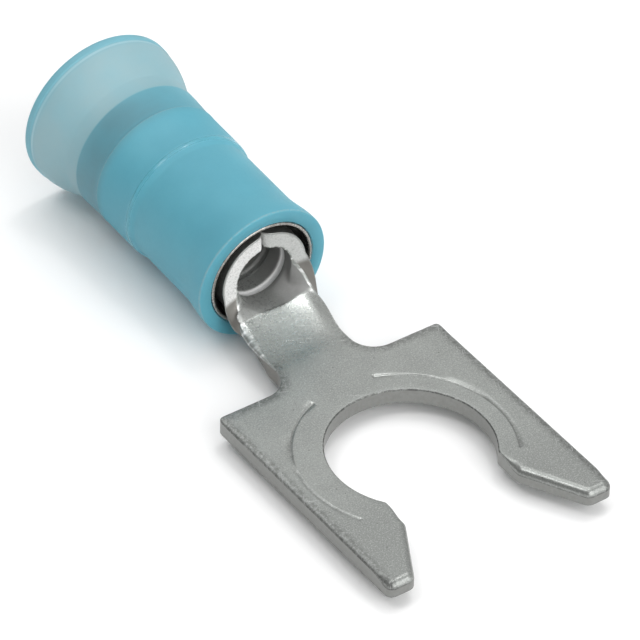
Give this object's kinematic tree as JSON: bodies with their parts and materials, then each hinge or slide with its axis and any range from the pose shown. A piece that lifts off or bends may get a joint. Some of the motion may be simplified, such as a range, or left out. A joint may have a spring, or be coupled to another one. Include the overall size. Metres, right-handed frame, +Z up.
{
  "type": "fork terminal",
  "caption": "Insulated crimp fork terminal: a flat fork with locking lobes, a rolled wire barrel and a translucent sleeve with a funnel entry.",
  "frame": {"origin": "centre of the stud hole on the underside of the tongue", "axes": "+Z up along the stud, out of the tongue's upper face; +Y along the terminal to the wire entry; the fork opens towards -Y; +X to the right leg"},
  "size_m": [0.0104, 0.0281, 0.0072],
  "materials": {
    "tin_plate": "satin tin plate on copper strip, with fine scratches and bright sheared edges",
    "bright_metal": "bright thin drawn metal",
    "blue_nylon": "translucent blue moulded nylon, soft gloss"
  },
  "bodies": {
    "root": {"terminal": "tin_plate", "support_sleeve": "bright_metal", "nylon_sleeve": "blue_nylon"}
  },
  "joints": []
}
